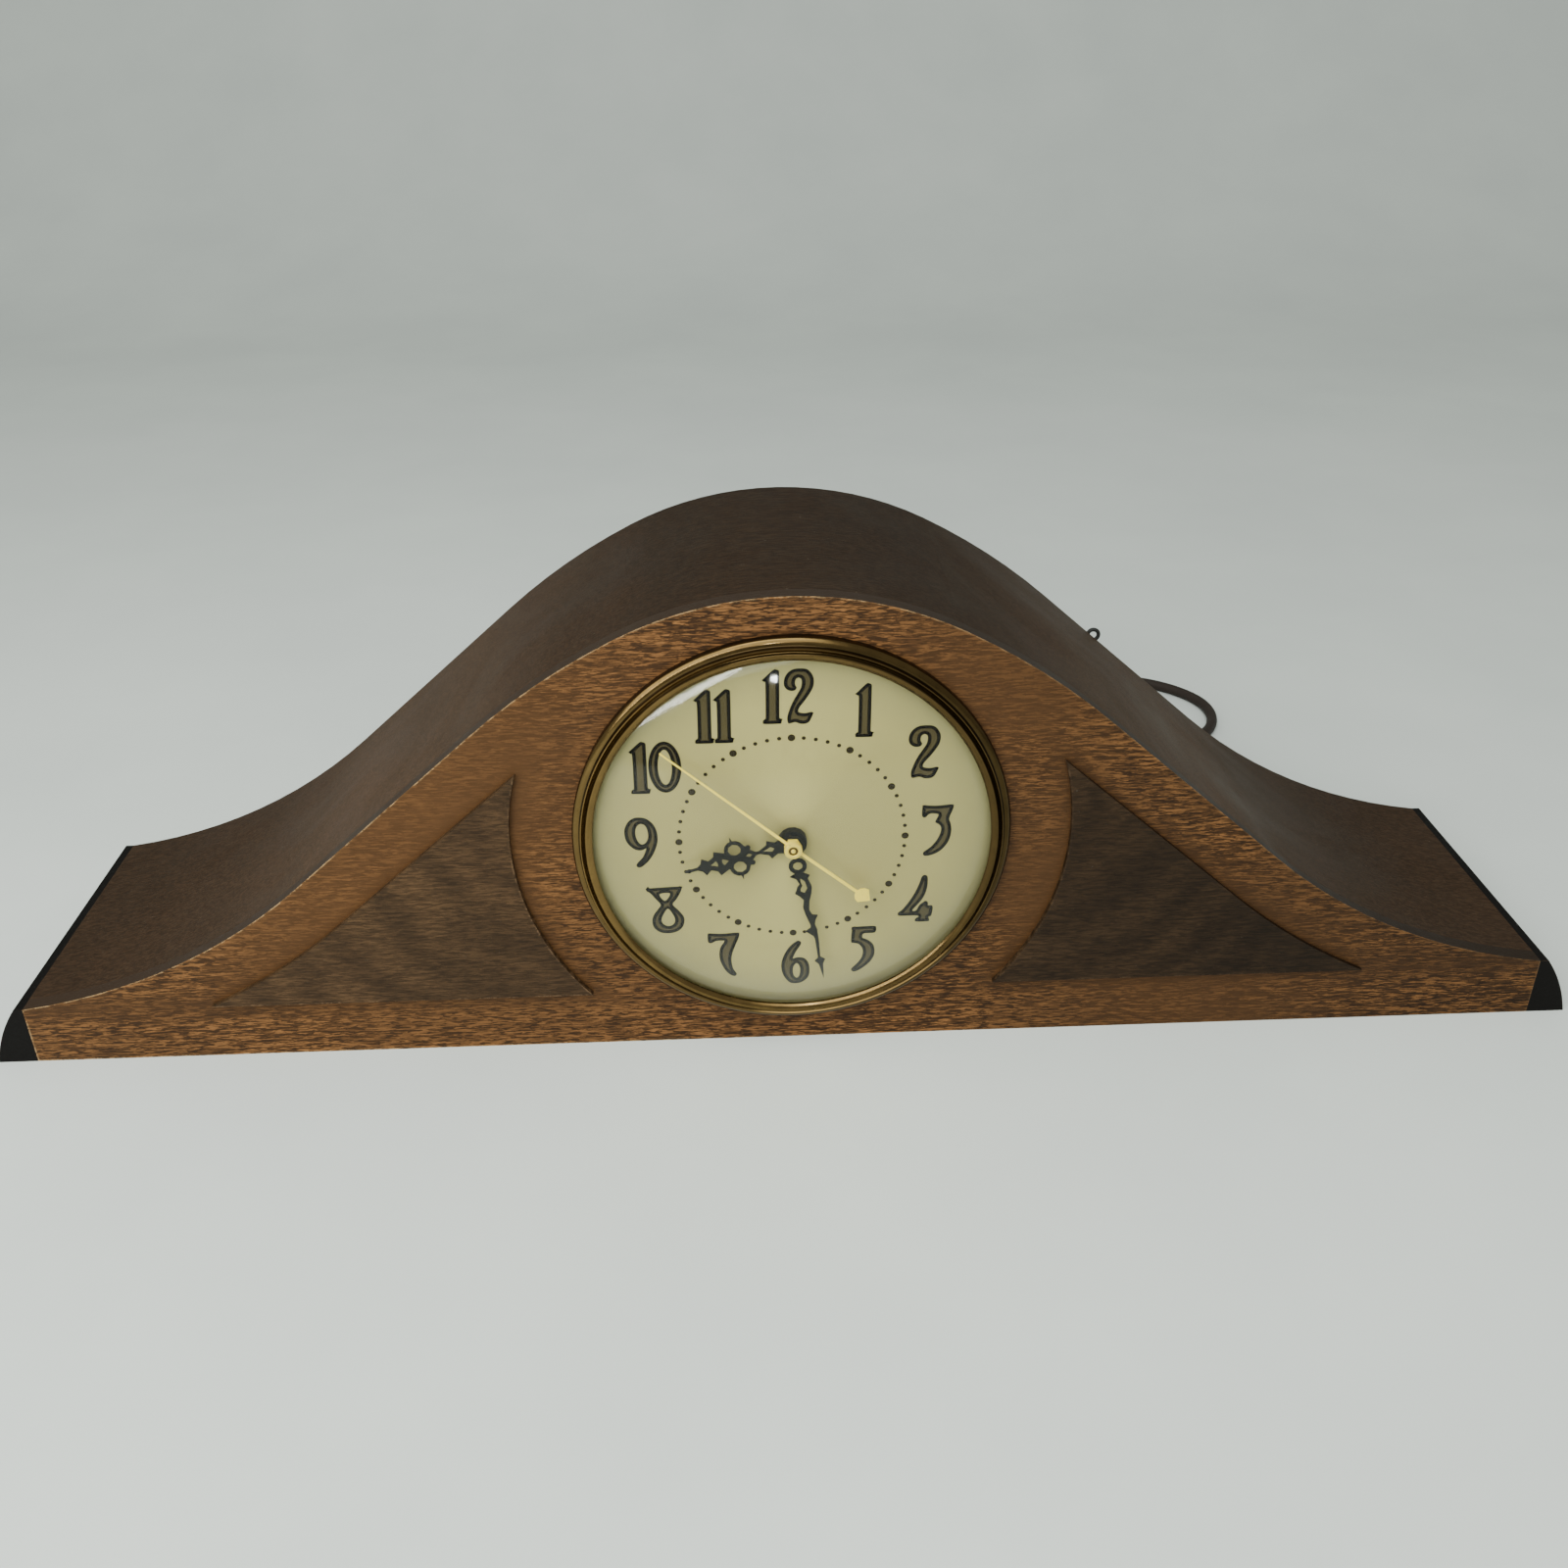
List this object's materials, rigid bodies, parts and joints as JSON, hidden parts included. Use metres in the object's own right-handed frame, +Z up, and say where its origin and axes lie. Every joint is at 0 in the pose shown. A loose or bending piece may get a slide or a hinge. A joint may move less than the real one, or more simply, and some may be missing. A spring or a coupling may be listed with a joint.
{
  "type": "mantel clock",
  "caption": "Humped wooden mantel clock with a domed glass, pierced hands, a motor-driven movement that chimes on rods, and a mains cord",
  "frame": {"origin": "on the underside of the base, at the middle of the case's length and depth", "axes": "+X to the viewer's right along the case, +Y from the dial to the back, +Z up"},
  "size_m": [0.5508, 0.3158, 0.1652],
  "materials": {
    "front_wood": "satin, reddish brown, horizontal grain",
    "cover_wood": "satin, dark grey-brown",
    "plain_wood": "bare, light brown",
    "black_wood": "black lacquer",
    "overlay_wood": "satin, reddish brown",
    "bezel_brass": "spun and lacquered, aged",
    "glass": "clear",
    "dial": "champagne, rayed from the middle",
    "black_hand": "black",
    "brass_hand": "polished",
    "brass": "plain",
    "steel": "plain",
    "screws": "plain",
    "iron": "plain",
    "rods": "plain",
    "winding": "taped",
    "fibre_board": "pressed fibre board",
    "black_plastic": "matt",
    "rubber": "matt",
    "cord": "matt, dark brown",
    "plug": "dark brown",
    "blades": "plain"
  },
  "bodies": {
    "case": {"front_board": "front_wood", "cover": "cover_wood", "base_board": "plain_wood", "glue_blocks": "plain_wood", "end_block_left": "black_wood", "end_block_right": "black_wood", "overlay_left": "overlay_wood", "overlay_right": "overlay_wood", "bezel": "bezel_brass", "glass": "glass", "dial_plate": "dial", "minute_stud": "steel", "front_plate": "brass", "back_plate": "brass", "pillars": "steel", "movement_spacers": "brass", "movement_screws": "screws", "motor_can": "steel", "motor_core": "iron", "core_posts": "steel", "motor_winding": "winding", "hammer_arbor": "steel", "hammer_collars": "brass", "chime_rods": "rods", "rod_block": "iron", "rod_block_screws": "screws", "back_board": "plain_wood", "back_panel": "fibre_board", "back_panel_screws": "screws", "cord_gland": "rubber", "power_cord": "cord", "cord_coil": "cord", "plug": "plug", "plug_blades": "blades"},
    "seconds": {"second_hand": "brass_hand", "seconds_arbor": "steel"},
    "third": {"third_arbor": "steel", "third_wheel": "brass"},
    "centre": {"centre_wheel": "brass"},
    "minute": {"minute_hand": "black_hand", "hand_nut": "brass_hand", "cannon_pinion": "steel", "clutch_spring": "steel"},
    "minute_reduction": {"minute_wheel": "brass"},
    "hour": {"hour_hand": "black_hand", "hour_wheel": "brass"},
    "setting": {"set_arbor": "steel", "set_knob": "black_plastic"},
    "drum": {"chime_drum": "brass", "drum_wheel": "brass"},
    "fly": {"chime_fly": "steel"},
    "hammer_a": {"hammer_1": "steel"},
    "hammer_b": {"hammer_2": "steel"},
    "hammer_c": {"hammer_3": "steel"},
    "hammer_d": {"hammer_4": "steel"},
    "silencer": {"silence_lever": "steel"}
  },
  "joints": [
    {"name": "second_turn", "type": "hinge", "parent": "case", "child": "seconds", "pos_m": [0, 0, 0.0817], "axis": [0, 1, 0], "continuous": true},
    {"name": "third_turn", "type": "hinge", "parent": "case", "child": "third", "pos_m": [-0.0126, 0, 0.0943], "axis": [0, 1, 0], "continuous": true},
    {"name": "centre_turn", "type": "hinge", "parent": "case", "child": "centre", "pos_m": [0, 0, 0.0817], "axis": [0, 1, 0], "continuous": true},
    {"name": "minute_turn", "type": "hinge", "parent": "case", "child": "minute", "pos_m": [0, 0, 0.0817], "axis": [0, 1, 0], "continuous": true},
    {"name": "minute_wheel_turn", "type": "hinge", "parent": "case", "child": "minute_reduction", "pos_m": [0.006, 0, 0.09209], "axis": [0, 1, 0], "continuous": true},
    {"name": "hour_turn", "type": "hinge", "parent": "case", "child": "hour", "pos_m": [0, 0, 0.0817], "axis": [0, 1, 0], "continuous": true},
    {"name": "setting_turn", "type": "hinge", "parent": "case", "child": "setting", "pos_m": [0.01782, 0, 0.09418], "axis": [0, 1, 0], "continuous": true},
    {"name": "drum_turn", "type": "hinge", "parent": "case", "child": "drum", "pos_m": [0.027, 0, 0.053], "axis": [0, 1, 0], "continuous": true},
    {"name": "fly_turn", "type": "hinge", "parent": "case", "child": "fly", "pos_m": [0.034, 0, 0.06512], "axis": [0, 1, 0], "continuous": true},
    {"name": "hammer_a_lift", "type": "hinge", "parent": "case", "child": "hammer_a", "pos_m": [0.04605, 0, 0.042], "axis": [0, -1, 0], "range_deg": [0, 18]},
    {"name": "hammer_b_lift", "type": "hinge", "parent": "case", "child": "hammer_b", "pos_m": [0.04605, 0, 0.042], "axis": [0, -1, 0], "range_deg": [0, 18]},
    {"name": "hammer_c_lift", "type": "hinge", "parent": "case", "child": "hammer_c", "pos_m": [0.04605, 0, 0.042], "axis": [0, -1, 0], "range_deg": [0, 18]},
    {"name": "hammer_d_lift", "type": "hinge", "parent": "case", "child": "hammer_d", "pos_m": [0.04605, 0, 0.042], "axis": [0, -1, 0], "range_deg": [0, 18]},
    {"name": "silencer_swing", "type": "hinge", "parent": "case", "child": "silencer", "pos_m": [0.104, 0, 0.086], "axis": [0, 1, 0], "range_deg": [-25, 25]}
  ],
  "couplings": [
    {"joint": "third_turn", "follows": "second_turn", "ratio": -0.125},
    {"joint": "centre_turn", "follows": "second_turn", "ratio": 0.016667},
    {"joint": "minute_wheel_turn", "follows": "minute_turn", "ratio": -0.33333},
    {"joint": "hour_turn", "follows": "minute_turn", "ratio": 0.083333},
    {"joint": "setting_turn", "follows": "minute_turn", "ratio": 1},
    {"joint": "drum_turn", "follows": "fly_turn", "ratio": -0.25}
  ]
}
